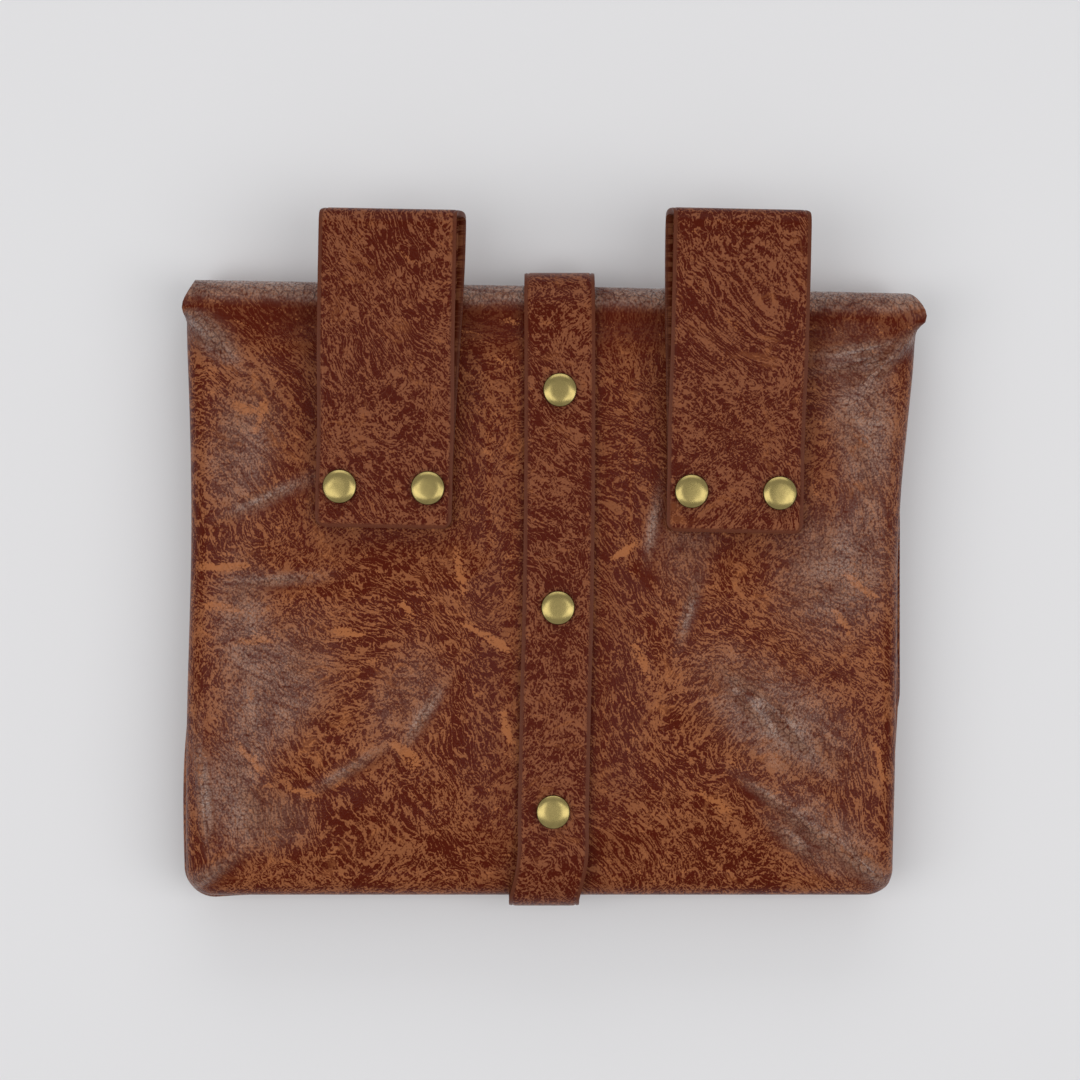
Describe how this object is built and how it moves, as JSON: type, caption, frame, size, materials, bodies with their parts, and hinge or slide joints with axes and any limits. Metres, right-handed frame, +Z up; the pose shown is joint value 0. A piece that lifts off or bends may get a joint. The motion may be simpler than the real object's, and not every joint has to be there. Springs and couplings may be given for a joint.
{
  "type": "medieval belt pouch",
  "caption": "Flat leather belt pouch lying on its flap, with doubled belt loops and a strap riveted to its back and closed by a stud on the front.",
  "frame": {"origin": "centre of the bounding box's lower face, where the pouch lies on its front", "axes": "+Z up from the surface to the pouch's back, +Y from the bottom edge to the top fold and the belt loops, +X to the right of the back as it is seen"},
  "size_m": [0.2144, 0.201, 0.0377],
  "materials": {
    "body_leather": "two-tone marbled, soft sheen",
    "strap_leather": "two-tone marbled, soft sheen, painted edges",
    "antique_brass": "antique, satin"
  },
  "bodies": {
    "root": {"back_panel_flap": "body_leather", "side_gusset": "body_leather", "front_panel": "body_leather", "closure_strap": "strap_leather", "belt_loop_left": "strap_leather", "belt_loop_right": "strap_leather", "strap_rivet_top": "antique_brass", "strap_rivet_middle": "antique_brass", "strap_rivet_bottom": "antique_brass", "loop_rivet_left_outer": "antique_brass", "loop_rivet_left_inner": "antique_brass", "loop_rivet_right_inner": "antique_brass", "loop_rivet_right_outer": "antique_brass", "closure_stud": "antique_brass"}
  },
  "joints": []
}
